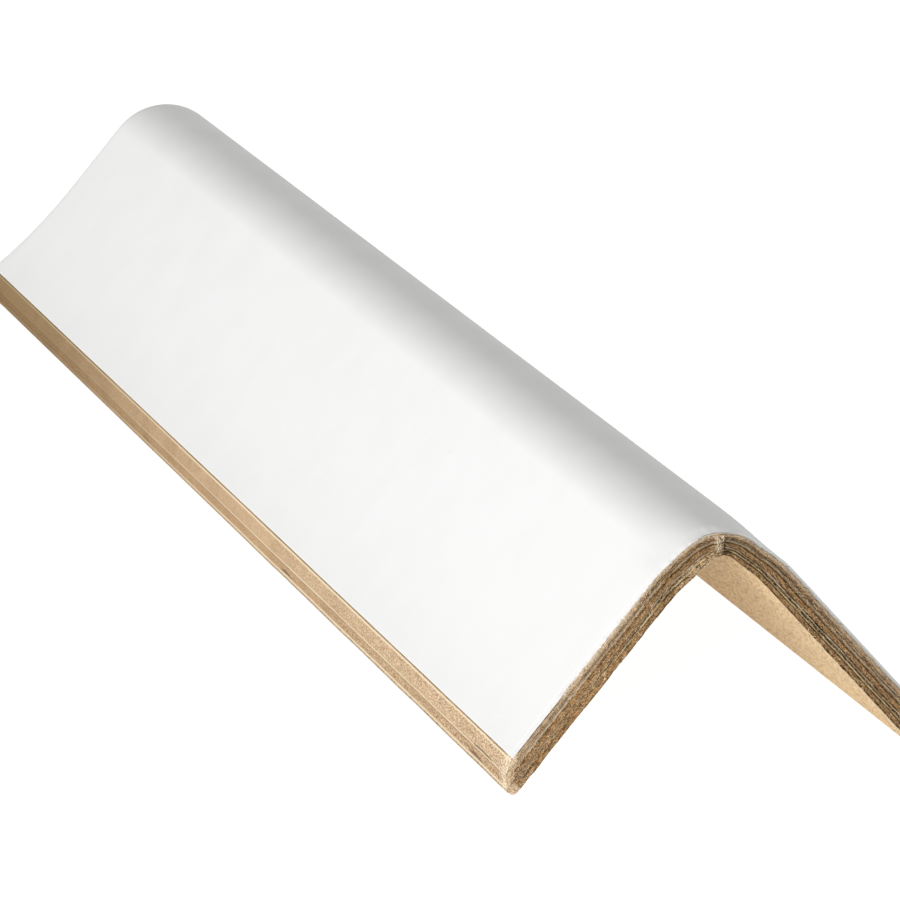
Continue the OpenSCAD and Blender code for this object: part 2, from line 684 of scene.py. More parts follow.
@dataclass(frozen=True)
class KraftPaper:
    """Uncoated kraft paper: tan, speckled with lighter and darker fibres."""

    name: str = "kraft_paper"
    tan: Colour = (0.94, 0.69, 0.385)
    pale: Colour = (0.96, 0.78, 0.52)
    brown: Colour = (0.45, 0.285, 0.14)
    # Multiplier that paints shade on the steep facet of a long edge.
    steep_shade: Colour = (0.82, 0.755, 0.655)
    line: Colour = (0.90, 0.77, 0.56)
    dark: Colour = (0.17, 0.105, 0.055)
    cloud_per_mm: float = 0.12
    speckle_per_mm: float = 2.5
    fibre_per_mm: float = 2.1
    grain_stretch: tuple[float, float, float] = (1.0, 0.5, 1.0)
    grain_height: float = 0.05
    roughness: tuple[float, float] = (0.72, 0.92)
    specular: float = 0.25
    fades: float = 0.0
    fade_span: tuple[float, float] = (30.0, 150.0)
    even: ClassVar[Colour] = (1.0, 1.0, 1.0)
    # Multiplier for painted shade, reached over far_span from the near end.
    far: Colour = even
    far_span: tuple[float, float] = (130.0, 300.0)
    rim_span: tuple[float, float] = (0.9, 1.6)
    edge_lines: bool = False
    sharp_span: tuple[float, float] = (120.0, 250.0)
    torn_span: tuple[float, float] = (0.8, 4.0)

    @classmethod
    def for_inner_face(cls) -> "KraftPaper":
        """The smooth liner of the inner face, darker further in as painted shade."""
        return cls(grain_height=0.03, far=(0.90, 0.85, 0.78), far_span=(25.0, 85.0))

    @classmethod
    def for_long_edge(cls) -> "KraftPaper":
        """The rougher paper of the long edges, greyer towards the far end as painted shade."""
        return cls(name="kraft_edge", tan=(0.62, 0.43, 0.26), pale=(0.80, 0.62, 0.43),
                   brown=(0.33, 0.195, 0.095), far=(0.50, 0.46, 0.35), speckle_per_mm=4.2,
                   fibre_per_mm=4.6, grain_stretch=(1.0, 0.8, 1.0), fades=0.7, edge_lines=True)

    def material(self, section: Section, nicks: tuple[Nick, ...] = ()) -> bpy.types.Material:
        """Build the paper's nodes.

        Args:
            section: the board's cross-section, which places the lines on a long edge.
            nicks: the bites out of the left long edge, painted dark inside as shade.

        Returns:
            The material.
        """
        made = bpy.data.materials.new(self.name)
        graph = Graph(made)
        _, run, along, depth = graph.board_map()
        place = graph.signal("ShaderNodeTexCoord", output="Object")
        place = graph.stretch(place, (1 / MM, 1 / MM, 1 / MM))
        cloud = graph.noise(place, self.cloud_per_mm, 4.0, 0.6)
        speckle = graph.noise(graph.stretch(place, self.grain_stretch), self.speckle_per_mm, 3.0, 0.65)
        fibre = graph.noise(graph.stretch(place, self.grain_stretch, 7.0), self.fibre_per_mm, 3.0, 0.7)
        crisp = 1 - self.fades * along.rise(*self.fade_span)
        colour = graph.mix(cloud.rise(0.4, 0.65) * 0.3, self.tan, self.brown)
        colour = graph.mix(speckle.rise(0.5, 0.58) * crisp, colour, self.pale)
        colour = graph.mix((1 - speckle.rise(0.41, 0.49)) * crisp, colour, self.brown)
        colour = graph.mix(fibre.rise(0.57, 0.62) * crisp * 0.8, colour, self.line)
        colour = graph.mix((1 - fibre.rise(0.36, 0.41)) * crisp * 0.5, colour, self.dark)
        height = speckle + 0.6 * fibre
        if self.edge_lines:
            sheet = PaperSignals(run, along, depth, speckle, crisp)
            colour, height = self._draw_edge(graph, section, sheet, nicks, colour, height)
        else:
            colour = graph.mix((1 - along.rise(*self.rim_span)) * 0.8, colour, self.line)
        # Painted shade: the colour is multiplied darker further from the near end.
        if self.far != self.even:
            further = graph.mix(1.0, colour, self.far, "MULTIPLY")
            colour = graph.mix(along.rise(*self.far_span), colour, further)
        low, high = self.roughness
        rough = low + (high - low) * speckle
        graph.dress(colour, rough, self.specular, graph.bump(height, self.grain_height))
        return made

    def _draw_edge(self, graph: Graph, section: Section, sheet: PaperSignals, nicks: tuple[Nick, ...],
                   colour: Signal, height: Signal) -> tuple[Signal, Signal]:
        """Draw what a long edge shows: the crease, a pale line where the facing ends, painted highlights
        on the crease and the ledge, and painted shadow lines.

        Args:
            graph: the material's nodes.
            section: the board's cross-section.
            sheet: places on the sheet and its speckle.
            nicks: the bites out of the left long edge.
            colour: the paper's colour so far.
            height: the paper's relief so far.

        Returns:
            The colour and the relief with the edge's lines.
        """
        run, along, depth, speckle = sheet.run, sheet.along, sheet.depth, sheet.speckle
        reach = section.leg_w - (run | run * -1) - (section.tangent_s - section.bend_run)
        reach = reach + 0.10 * (speckle - 0.5)
        start, crease, foot = section.edge_slope_w, section.edge_crease_w, section.slope_foot
        steep = (1 - reach.rise(crease - 0.05, crease + 0.03)) * (1 - depth.rise(foot - 0.04, foot))
        # Painted shade: the steep facet is multiplied darker; its dark and pale specks are the paper's
        # own.
        colour = graph.mix(steep, colour, graph.mix(1.0, colour, self.steep_shade, "MULTIPLY"))
        colour = graph.mix(steep * (1 - speckle.rise(0.42, 0.48)) * sheet.crisp * 0.8, colour, self.dark)
        colour = graph.mix(steep * speckle.rise(0.53, 0.59) * sheet.crisp * 0.8, colour, self.pale)
        sharp = 1 - 0.8 * along.rise(*self.sharp_span)
        # Painted highlights on the crease ridge and the upward-facing ledge; the line near the facing's
        # end is the pale edge of the paper.
        light = (reach.band(crease + 0.08, 0.14) | reach.band(section.tip_ledge - 0.08, 0.17)) * sharp
        light = light | reach.band(start - 0.40, 0.21)
        colour = graph.mix(light, colour, self.line)
        # Painted shadow lines: under the facing's edge, in the groove below the crease and at the rolled
        # tip.
        shadow = reach.rise(start - 0.22, start - 0.12) | reach.band(crease - 0.12, 0.13) * 0.6
        shadow = shadow | (1 - reach.rise(0.04, 0.22))
        colour = graph.mix(shadow * sharp * 0.62, colour, self.dark)
        # Painted shade inside the nicks.
        for nick in nicks:
            bite = along.band(nick.along, nick.half_l * 2.0) * depth.band(nick.depth, nick.half_h * 2.2)
            bite = (bite + 0.6 * (speckle - 0.5)).rise(0.12, 0.3) * (1 - run.rise(-1.0, 1.0))
            colour = graph.mix(bite * nick.shade, colour, self.dark)
        torn = (1 - along.rise(*self.torn_span)) * speckle.rise(0.40, 0.52)
        colour = graph.mix(torn, colour, self.line)
        return colour, height + 0.6 * light - 0.9 * shadow


class SeamTone(Enum):
    """Colours of the lines in a sawn end, by the finish's field that holds them."""

    DARK = "dark"
    ASH = "ash"
    GREEN_GLUE = "green_glue"


@dataclass(frozen=True)
class Seam:
    """A line along the sawn end, with its strength on either leg and how far left it reaches."""

    depth: float
    half: float
    tone: SeamTone
    left: float
    right: float
    reach: float = 48.0


@dataclass(frozen=True)
class CutSignals:
    """What the sawn end's finish reads: places on the cut, and noises of several kinds."""

    graph: Graph
    run: Signal
    depth: Signal
    left: Signal
    right: Signal
    wander: Signal
    broken: Signal
    speckle: Signal
    streak: Signal
    fibre: Signal
    upright: Signal
    spark: Signal
    wavy: Signal

    @classmethod
    def add(cls, graph: Graph) -> "CutSignals":
        """Add the nodes that read the cut.

        Args:
            graph: the material's nodes.

        Returns:
            The signals; left grows along the left leg, right is 1 on the right leg and wavy is the
            depth with a wander in it.
        """
        vector, run, _, depth = graph.board_map()

        def noise(along: float, across: float, shift: float, scale: float = 1.0, detail: float = 3.0,
                  roughness: float = 0.6) -> Signal:
            """Noise over the flat of the cut, drawn out along the plies or across them."""
            flat = graph.stretch(vector, (along, 0.0, across), shift)
            return graph.noise(flat, scale, detail, roughness)

        wander, speckle = noise(0.55, 0.35, 3.0), noise(1.0, 1.0, 5.0, scale=4.6, roughness=0.75)
        return cls(
            graph, run, depth, left=run * -1, right=run.rise(0.2, 1.2), wander=wander, speckle=speckle,
            broken=noise(0.4, 1.6, 11.0), streak=noise(1.1, 5.2, 23.0, roughness=0.7),
            fibre=noise(2.2, 4.4, 31.0, detail=2.0), upright=noise(7.0, 0.9, 43.0),
            spark=noise(1.0, 1.3, 57.0, scale=6.5, detail=2.0),
            wavy=depth + 0.24 * (wander - 0.5) + 0.06 * (speckle - 0.5))


@dataclass(frozen=True)
class CutPlies:
    """The sawn end of the laminate: brown and grey plies, broken glue lines, pores and torn fibres, with
    painted shade under the clean facing, in the split and in the chips.
    """

    name: str = "cut_plies"
    brown: Colour = (0.34, 0.185, 0.08)
    grey: Colour = (0.25, 0.18, 0.11)
    rosy: Colour = (0.46, 0.31, 0.20)
    cream: Colour = (0.82, 0.70, 0.55)
    green_glue: Colour = (0.78, 0.74, 0.48)
    rosy_dust: Colour = (0.74, 0.665, 0.60)
    golden: Colour = (0.94, 0.66, 0.37)
    ash: Colour = (0.72, 0.68, 0.61)
    dark: Colour = (0.045, 0.027, 0.014)
    fibre: Colour = (0.66, 0.43, 0.235)
    seams: tuple[Seam, ...] = (
        Seam(1.08, 0.10, SeamTone.DARK, 0.3, 0.8), Seam(1.27, 0.08, SeamTone.ASH, 0.0, 0.45),
        Seam(1.42, 0.09, SeamTone.DARK, 0.2, 0.6), Seam(1.68, 0.10, SeamTone.ASH, 0.55, 0.5),
        Seam(2.02, 0.10, SeamTone.DARK, 0.3, 0.6), Seam(2.72, 0.10, SeamTone.DARK, 0.35, 0.8),
        Seam(2.87, 0.10, SeamTone.ASH, 0.3, 0.95), Seam(3.10, 0.14, SeamTone.DARK, 0.45, 0.95, 26.0),
        Seam(3.37, 0.10, SeamTone.GREEN_GLUE, 0.75, 0.9, 27.0),
        Seam(3.55, 0.10, SeamTone.DARK, 0.2, 0.7), Seam(4.12, 0.12, SeamTone.DARK, 0.35, 0.95))
    seam_fade: float = 4.0
    seam_gain: float = 1.7
    ply_blur: float = 0.12
    clean_step: float = 0.3
    corner_at: float = 40.7
    corner_slant: float = 1.6
    corner_span: tuple[float, float] = (42.4, 44.6)
    chips: tuple[float, ...] = (23.3, 26.7)
    tint: Colour = (1.0, 0.95, 0.84)
    fold_shade: float = 0.20
    core_shade: float = 0.24
    right_shade: float = 0.90
    relief: float = 0.14
    roughness: float = 0.92
    specular: float = 0.15

    def material(self, section: Section, clean_from: float) -> bpy.types.Material:
        """Build the cut's nodes.

        Args:
            section: the board's cross-section, which places the plies.
            clean_from: run at which the clean part of the facing's cut ends.

        Returns:
            The material.
        """
        made = bpy.data.materials.new(self.name)
        cut = CutSignals.add(Graph(made))
        colour = self._paint_plies(cut, section)
        colour = self._draw_seams(cut, colour)
        colour = self._dust_frayed(cut, colour, clean_from)
        colour = self._tear_fold(cut, colour)
        colour = self._wear(cut, colour, section)
        colour = self._shade(cut, colour)
        height = cut.speckle + 0.8 * cut.streak + 0.5 * cut.fibre
        cut.graph.dress(colour, self.roughness, self.specular, cut.graph.bump(height, self.relief))
        return made

    def _stops(self, section: Section) -> list[tuple[float, Colour]]:
        """Colours of the plies by depth, as shares of the board's thickness.

        Args:
            section: the board's cross-section.

        Returns:
            A ramp's stops.
        """
        stops: list[tuple[float, Colour]] = []
        for ply, body in enumerate((self.rosy, self.grey, self.brown, self.grey, self.brown)):
            stops += [(section.ply_depth(ply) + self.ply_blur, body),
                      (section.ply_depth(ply + 1) - self.ply_blur, body)]
        return [(depth / section.board_t, colour) for depth, colour in stops]

    def _paint_plies(self, cut: CutSignals, section: Section) -> Signal:
        """Paint the plies with their streaks, fibres and pores, under a veil of ash near the facing.

        Args:
            cut: places on the cut and its noises.
            section: the board's cross-section.

        Returns:
            The colour.
        """
        graph, right = cut.graph, cut.right
        share = cut.wavy * (1 / section.board_t)
        plies = graph.signal("ShaderNodeValToRGB", {"stops": self._stops(section)}, {0: share})
        body = graph.mix(cut.broken.rise(0.35, 0.6), self.brown, self.grey)
        colour = graph.mix(0.4 + 0.4 * right, body, plies)
        colour = graph.mix(cut.streak.rise(0.52, 0.58) * 0.75, colour, self.fibre)
        colour = graph.mix((1 - cut.streak.rise(0.41, 0.46)) * (0.45 + 0.4 * right), colour, self.dark)
        colour = graph.mix(cut.fibre.rise(0.57, 0.62) * 0.7, colour, self.fibre)
        colour = graph.mix((1 - cut.speckle.rise(0.41, 0.45)) * 0.7, colour, self.dark)
        colour = graph.mix(cut.speckle.rise(0.55, 0.6) * (0.8 + 0.2 * right), colour, self.fibre)
        veil = 0.10 * right + 0.26 * cut.left.rise(6.0, 22.0)
        return graph.mix((1 - cut.depth.rise(1.5, 2.0)) * veil, colour, self.ash)

    def _draw_seams(self, cut: CutSignals, colour: Signal) -> Signal:
        """Draw the broken glue lines between the plies, and bright specks.

        Args:
            cut: places on the cut and its noises.
            colour: the colour so far.

        Returns:
            The colour with the lines.
        """
        graph, left = cut.graph, cut.left
        whole = 0.3 + 0.7 * cut.broken.rise(0.42, 0.52)
        clear = cut.right | 0.75 * (1 - left.rise(7.0, 20.0))
        for seam in self.seams:
            strength = seam.left + (seam.right - seam.left) * clear
            shown = cut.wavy.band(seam.depth, seam.half) * whole * strength
            shown = shown * (1 - left.rise(seam.reach - self.seam_fade, seam.reach))
            colour = graph.mix(shown * self.seam_gain, colour, getattr(self, seam.tone.value))
        return graph.mix(cut.spark.rise(0.6, 0.66) * (0.3 + 0.5 * cut.right), colour, self.golden)

    def _dust_frayed(self, cut: CutSignals, colour: Signal, clean_from: float) -> Signal:
        """Dust the first ply under the frayed facing, and paint the clean part's shadow on it.

        Args:
            cut: places on the cut and its noises.
            colour: the colour so far.
            clean_from: run at which the clean part of the facing's cut ends.

        Returns:
            The colour with the dust.
        """
        graph, depth, upright = cut.graph, cut.depth, cut.upright
        clean = cut.left.rise(-clean_from - self.clean_step, -clean_from + self.clean_step)
        frayed = (1 - (depth + 0.5 * (upright - 0.5)).rise(0.62, 1.0)) * (1 - clean)
        dust = frayed * upright.rise(0.42, 0.53) * (0.9 - 0.15 * cut.right)
        colour = graph.mix(dust, colour, self.rosy_dust)
        # Painted shadow that the overhanging clean facing casts on the first ply.
        return graph.mix(clean * (1 - depth.rise(0.54, 0.7)) * 0.65, colour, self.dark)

    def _tear_fold(self, cut: CutSignals, colour: Signal) -> Signal:
        """Colour the torn column at the fold and its bright fibres, paint shade in the split beside it and
        darken a patch of inner plies.

        Args:
            cut: places on the cut and its noises.
            colour: the colour so far.

        Returns:
            The colour with the torn fold.
        """
        graph, run, depth, upright = cut.graph, cut.run, cut.depth, cut.upright
        ridge = run.band(-0.2, 0.65) * (1 - depth.rise(2.0, 2.8) * 0.8)
        flecks = run.band(-3.6, 4.6) * depth.rise(2.6, 3.6) * cut.fibre.rise(0.5, 0.58)
        colour = graph.mix(flecks | ridge * upright.rise(0.49, 0.56), colour, self.golden)
        colour = graph.mix(ridge * (1 - upright.rise(0.42, 0.49)) * 0.8, colour, self.dark)
        # Painted shade in the split; the hollow is a darker patch of the inner plies.
        split = run.band(0.52, 0.25) * (depth + 2.2 * (cut.wander - 0.5)).rise(0.6, 1.4)
        hollow = run.band(0.9, 1.3) * depth.rise(2.7, 3.3)
        return graph.mix((split | hollow) * 0.8, colour, self.dark)

    def _wear(self, cut: CutSignals, colour: Signal, section: Section) -> Signal:
        """Wear the left corner to cream, and paint shade in the chips in the right leg's inner edge.

        Args:
            cut: places on the cut and its noises.
            colour: the colour so far.
            section: the board's cross-section.

        Returns:
            The colour with the wear.
        """
        graph = cut.graph
        gap = cut.run + self.corner_slant * cut.depth + self.corner_at
        worn = ((1 - gap.rise(0.3, 3.0)) | cut.left.rise(*self.corner_span)) * (1 - cut.right)
        worn = (worn + 0.9 * (cut.speckle - 0.5)).rise(0.3, 0.6)
        worn = worn * (0.4 + 0.6 * cut.upright.rise(0.42, 0.54))
        colour = graph.mix(worn * 0.9, colour, self.cream)
        # Painted shade inside the chips.
        for chip in self.chips:
            bite = (0.5 * cut.run.band(chip, 0.8) + cut.depth - section.board_t).rise(0.0, 0.2)
            colour = graph.mix(bite * 0.85, colour, self.dark)
        return colour

    def _shade(self, cut: CutSignals, colour: Signal) -> Signal:
        """Tint the whole cut, and darken its core, its fold and the right leg.

        Args:
            cut: places on the cut and its noises.
            colour: the colour so far.

        Returns:
            The colour as it is shown.
        """
        colour = cut.graph.mix(1.0, colour, self.tint, "MULTIPLY")
        core = cut.run.band(0.0, 9.0) * cut.depth.rise(0.8, 1.2) * (1 - cut.depth.rise(2.4, 3.0))
        fold = cut.run.rise(-30.0, -8.0)
        shades = ((self.core_shade, core), (self.fold_shade, fold), (1 - self.right_shade, cut.right))
        for strength, mask in shades:
            colour = cut.graph.shade(colour, 1 - strength * mask)
        return colour


@dataclass(frozen=True)
class FibreStrand:
    """Loose paper fibres, from brown to nearly white."""

    name: str = "loose_fibre"
    dark: Colour = (0.20, 0.125, 0.065)
    tan: Colour = (0.66, 0.46, 0.26)
    pale: Colour = (0.84, 0.70, 0.50)
    white: Colour = (0.86, 0.84, 0.80)
    roughness: float = 0.8
    specular: float = 0.2

    def material(self) -> bpy.types.Material:
        """Build the strands' nodes, coloured strand by strand.

        Returns:
            The material.
        """
        made = bpy.data.materials.new(self.name)
        graph = Graph(made)
        settings = {"attribute_type": "GEOMETRY", "attribute_name": TONE_MAP}
        tone = graph.signal("ShaderNodeAttribute", settings, output="Fac")
        stops = [(0.0, self.dark), (0.35, self.tan), (0.7, self.pale), (1.0, self.white)]
        colour = graph.signal("ShaderNodeValToRGB", {"stops": stops}, {0: tone})
        graph.dress(colour, self.roughness, self.specular)
        return made


def make_piece(name: str, points: Array, faces: list[list[int]], finishes: list[bpy.types.Material],
               finish_of: Optional[Array] = None, maps: Optional[dict[str, Array]] = None,
               sharp_deg: float = 40.0) -> bpy.types.Object:
    """Make a mesh object.

    Args:
        name: the piece's name.
        points: coordinates in metres.
        faces: corner indices, face by face.
        finishes: the materials, in slot order.
        finish_of: each face's slot.
        maps: values to store at the points, one or three numbers to a point.
        sharp_deg: edges that turn by more than this stay sharp.

    Returns:
        The object, linked to the scene.
    """
    mesh = bpy.data.meshes.new(name)
    mesh.from_pydata(points.reshape(-1, 3), [], faces)
    for finish in finishes:
        mesh.materials.append(finish)
    if finish_of is not None:
        mesh.polygons.foreach_set("material_index", finish_of.astype(np.int32))
    for map_name, values in (maps or {}).items():
        vector = values.ndim > 1
        layer = mesh.attributes.new(map_name, "FLOAT_VECTOR" if vector else "FLOAT", "POINT")
        layer.data.foreach_set("vector" if vector else "value", values.astype(np.float32).ravel())
    mesh.polygons.foreach_set("use_smooth", np.ones(len(mesh.polygons), bool))
    mesh.set_sharp_from_angle(angle=math.radians(sharp_deg))
    mesh.update()
    piece = bpy.data.objects.new(name, mesh)
    bpy.context.scene.collection.objects.link(piece)
    return piece


def grid_faces(ids: Array, flip: bool = False) -> Array:
    """Quads over a grid of point numbers.

    Args:
        ids: point numbers, rows by columns.
        flip: turn the faces round.

    Returns:
        Corner indices, four to a face.
    """
    quads = np.stack([ids[:-1, :-1], ids[:-1, 1:], ids[1:, 1:], ids[1:, :-1]], -1).reshape(-1, 4)
    return quads[:, ::-1] if flip else quads


def outline(high: int, wide: int) -> tuple[Array, Array]:
    """Places on the rim of a grid, once round from its first corner.

    Args:
        high: rows of the grid.
        wide: columns of the grid.

    Returns:
        The row and the column of each place.
    """
    row = np.concatenate([np.zeros(wide, int), np.arange(1, high), np.full(wide - 1, high - 1),
                          np.arange(high - 2, 0, -1)])
    column = np.concatenate([np.arange(wide), np.full(high - 1, wide - 1), np.arange(wide - 2, -1, -1),
                             np.zeros(high - 2, int)])
    return row, column


def leg_columns(bend: int, leg: int) -> tuple[Array, Array]:
    """Columns of a section from the left tip to the right one.

    Args:
        bend: columns over the bend.
        leg: columns over each leg.

    Returns:
        Shares of the bend from -1 to 1, and shares of the legs from -1 at the left tip to 1 at the
        right one.
    """
    out = np.linspace(0.0, 1.0, leg + 1)[1:]
    turn = np.concatenate([np.full(leg, -1.0), np.linspace(-1.0, 1.0, bend + 1), np.full(leg, 1.0)])
    straight = np.concatenate([-out[::-1], np.zeros(bend + 1), out])
    return turn, straight


@dataclass
class CutFace:
    """Relief of one sawn end: how far each place of the section stands back from the plain cut."""

    section: Section
    seed: int
    torn_fold: bool
    ply_setback: float = 0.25
    seam_groove: float = 0.20
    glue_ridge: float = 0.14
    fibre_rough: float = 0.11
    streak_rough: float = 0.10
    tear_proud: float = 0.30
    split_depth: float = 0.35
    chips: tuple[tuple[float, float], ...] = ((23.3, 0.55), (26.7, 0.7), (15.2, 0.35))
    chip_half: float = 0.42
    chip_h: tuple[float, float] = (0.55, 0.2)
    seam_wave: float = 0.10
    seam_w: float = 0.07
    ridge_at: float = 0.10
    ridge_w: float = 0.06
    rim_round: float = 0.10
    rim_w: float = 0.14
    tip_round: float = 0.35
    tip_w: float = 0.9
    grain: Grain = field(init=False)

    def __post_init__(self) -> None:
        """Draw the noise."""
        self.grain = Grain(self.seed)

    def wave(self, run: Array, depth: Array) -> Array:
        """How far a seam wanders from its plain depth, nothing at the outer and inner faces.

        Args:
            run: run along the middle of the board.
            depth: plain depth below the outer face.

        Returns:
            Millimetres of extra depth.
        """
        share = (depth - self.section.facing_t) / (self.section.board_t - self.section.facing_t)
        hold = np.clip(4.0 * share * (1.0 - share), 0.0, 1.0)
        slow = self.grain.at(run * 0.16 + 40.0, depth * 0.5)
        return self.seam_wave * hold * (slow + 0.5 * self.grain.at(run * 0.5 + 9.0, depth * 0.8 + 3.0))

    def recess(self, run: Array, depth: Array) -> Array:
        """How far a place stands back into the board.

        Args:
            run: run along the middle of the board.
            depth: plain depth below the outer face.

        Returns:
            Millimetres, negative where fibres stand proud.
        """
        section, grain = self.section, self.grain
        ply = np.clip((depth - section.facing_t) / section.ply_t, 0.0, section.ply_count - 1e-6)
        number, part = np.floor(ply), ply - np.floor(ply)
        back = np.where(number % 2 == 1, self.ply_setback, 0.0)
        back = back * (0.75 + 0.5 * grain.at(run * 0.2, number * 7.0))
        broken = ramp(grain.rough(run * 0.45, number * 13.0 + 2.0), -0.25, 0.25)
        groove = bell(np.minimum(part, 1 - part) * section.ply_t, 0.0, self.seam_w)
        ridge = bell(part * section.ply_t, self.ridge_at, self.ridge_w)
        back = back + self.seam_groove * groove * broken
        back = back - self.glue_ridge * ridge * broken * (number > 0)
        calm = 1.0 - 0.75 * ramp(depth, section.board_t - 0.3, section.board_t)
        back = back + calm * self.fibre_rough * grain.rough(run * 2.6, depth * 2.6 + 31.0)
        back = back + calm * self.streak_rough * grain.rough(run * 0.7, depth * 5.0 + 77.0)
        back = back + self.rim_round * ramp(depth, section.board_t - self.rim_w, section.board_t)
        tip = section.run_at(section.edge_s(depth)) - np.abs(run)
        worn = self.tip_round * (1.0 - ramp(tip, 0.0, self.tip_w))
        back = back + worn * (0.7 + 0.6 * grain.rough(run * 3.0, depth * 3.0))
        if self.torn_fold:
            back = back + self._tear(run, depth)
        return back

    def _tear(self, run: Array, depth: Array) -> Array:
        """The torn column at the fold, the split beside it and the chips in the inner edge.

        Args:
            run: run along the middle of the board.
            depth: plain depth below the outer face.

        Returns:
            Millimetres to add to the recess.
        """
        ragged = self.grain.rough(run * 5.0 + 3.0, depth * 2.2 + 61.0)
        column = bell(run, -0.25, 0.5)
        margin = bell(run, -2.6, 2.2) * ramp(depth, 2.5, 3.8)
        moved = -self.tear_proud * column * (0.8 + 0.9 * ragged) + 0.42 * margin * ragged
        moved = moved + self.split_depth * bell(run, 0.52 + 0.12 * ragged, 0.13) * ramp(depth, 1.0, 2.4)
        low, high = (self.section.board_t - height for height in self.chip_h)
        for at, bite in self.chips:
            moved = moved + bite * bell(run, at, self.chip_half) * ramp(depth, low, high)
        return moved


@dataclass
class KraftBoard:
    """The stack of kraft plies: one closed shell with sawn ends and rolled long edges."""

    blank: Blank
    bend_columns: int = 140
    leg_columns: int = 130
    ply_rows: tuple[float, ...] = (0.0, 0.07, 0.16, 0.34, 0.5, 0.66, 0.84, 0.93)
    near_seed: int = 11
    far_seed: int = 29
    edge_wander: float = 0.05
    tip_worn: float = 0.13
    nicks: tuple[Nick, ...] = (
        Nick(10.6, 1.16, 3.0, 0.022, 0.15), Nick(14.2, 2.46, 2.0, 0.18, 0.45),
        Nick(111.0, 2.46, 1.9, 0.17, 0.45), Nick(196.0, 2.50, 1.6, 0.12, 0.25, 0.35))

    def faces(self) -> dict[End, CutFace]:
        """Relief of the two sawn ends."""
        return {End.NEAR: CutFace(self.blank.section, self.near_seed, True),
                End.FAR: CutFace(self.blank.section, self.far_seed, False)}

    def rings(self) -> Array:
        """Rings between the two cuts, close where there are nicks.

        Returns:
            Their distances from the near end.
        """
        length = self.blank.length
        parts = (np.linspace(1.5, 7.0, 7), np.linspace(8.0, 17.0, 17), np.linspace(19.0, 105.0, 12),
                 np.linspace(108.0, 113.0, 8), np.linspace(120.0, length - 14.0, 10),
                 np.linspace(length - 10.0, length - 1.8, 5))
        return np.concatenate(parts)

    def rows(self) -> Array:
        """Rows through the plies, closer at the seams.

        Returns:
            Their plain depths.
        """
        section = self.blank.section
        shares = np.array([ply + part for ply in range(section.ply_count) for part in self.ply_rows])
        return np.append(section.facing_t + shares * section.ply_t, section.board_t)

    def runs(self, depth: Array) -> Array:
        """Runs of all columns at each depth.

        Args:
            depth: plain depths, one to a row.

        Returns:
            Rows by columns; the columns lean only near the tips, to end on the long edge.
        """
        section = self.blank.section
        turn, straight = leg_columns(self.bend_columns, self.leg_columns)
        lean = section.edge_s(depth)[:, None] - section.facing_edge_s
        leg = np.sign(straight) * (np.abs(straight) * section.leg_run + np.abs(straight) ** 9 * lean)
        return turn * section.bend_run + leg

    def edge_shift(self, depth: Array, along: Array, left: Array) -> Array:
        """How far a long edge stands out from its plain line.

        Args:
            depth: plain depth.
            along: distance from the near end.
            left: 1 on the left leg, where the nicks are.

        Returns:
            Millimetres along the leg, negative in grooves and nicks.
        """
        section, grain = self.blank.section, Grain(self.near_seed + 5)
        wander = 0.03 * grain.at(along * 0.09, depth * 0.0 + 4.0)
        shift = self.edge_wander * grain.rough(along * 0.35, depth * 2.0)
        crease, foot = section.ply_depth(1), section.slope_foot
        ridges = ((crease - 0.03, 0.07, 0.10), (crease + 0.12, 0.08, -0.08), (foot - 0.06, 0.06, -0.10))
        for at, width, height in ridges:
            shift = shift + height * bell(depth + wander, at, width)
        shift = shift - self.tip_worn * ramp(depth, foot, foot + 0.2)
        for nick in self.nicks:
            bite = bell(along, nick.along, nick.half_l * 0.6) * bell(depth, nick.depth, nick.half_h)
            shift = shift - left * nick.bite * bite * (1.0 + 0.5 * grain.rough(along * 2.0, depth * 2.0))
        return shift

    def build(self, finishes: list[bpy.types.Material]) -> bpy.types.Object:
        """Build and dress the board.

        Args:
            finishes: paper of the inner face, paper of the long edges and the cut plies.

        Returns:
            The piece.
        """
        blank = self.blank
        plain = self.rows()
        run = self.runs(plain)
        depth = np.broadcast_to(plain[:, None], run.shape)
        high, wide = run.shape
        cap, tips = high * wide, [0, wide - 1]
        ids = np.arange(cap).reshape(high, wide)
        end_shift = np.zeros_like(run)
        end_shift[:, tips] = self.edge_shift(depth[:, tips], np.zeros(1), np.array([1.0, 0.0]))
        points, sheet = [], []
        for end, face in self.faces().items():
            moved = depth + face.wave(run, depth)
            y = blank.cut_y(end, run, face.recess(run, depth))
            points.append(blank.stand(run + np.sign(run) * end_shift, moved, y).reshape(-1, 3))
            sheet.append(blank.sheet_map(run, depth, y).reshape(-1, 3))
        row, column = outline(high, wide)
        rim_run, rim_depth = run[row, column], depth[row, column]
        along = self.rings()[:, None]
        y = blank.swept_y(rim_run, along)
        shift = self.edge_shift(np.broadcast_to(rim_depth, y.shape), np.broadcast_to(along, y.shape),
                                np.broadcast_to(column == 0, y.shape)) * np.isin(column, tips)
        points.append(blank.stand(rim_run + np.sign(rim_run) * shift, rim_depth, y).reshape(-1, 3))
        sheet.append(blank.sheet_map(rim_run, rim_depth, y).reshape(-1, 3))
        rings = 2 * cap + np.arange(y.size).reshape(y.shape)
        loops = np.vstack([ids[row, column], rings, cap + ids[row, column]])
        shell = grid_faces(np.hstack([loops, loops[:, :1]]))
        on_edge = column == np.roll(column, -1)
        shell_sides = np.tile(np.where(on_edge, Side.EDGE, Side.FACE), len(loops) - 1)
        caps = np.concatenate([grid_faces(ids, True), grid_faces(ids + cap)])
        sides = np.concatenate([shell_sides, np.full(len(caps), Side.CUT)])
        piece = make_piece("kraft_laminate", np.concatenate(points),
                           np.concatenate([shell, caps]).tolist(), finishes, sides,
                           {BOARD_MAP: np.concatenate(sheet)})
        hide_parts(Layer.KRAFT.node)
        Layer.KRAFT.slot
        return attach(piece, BODY)


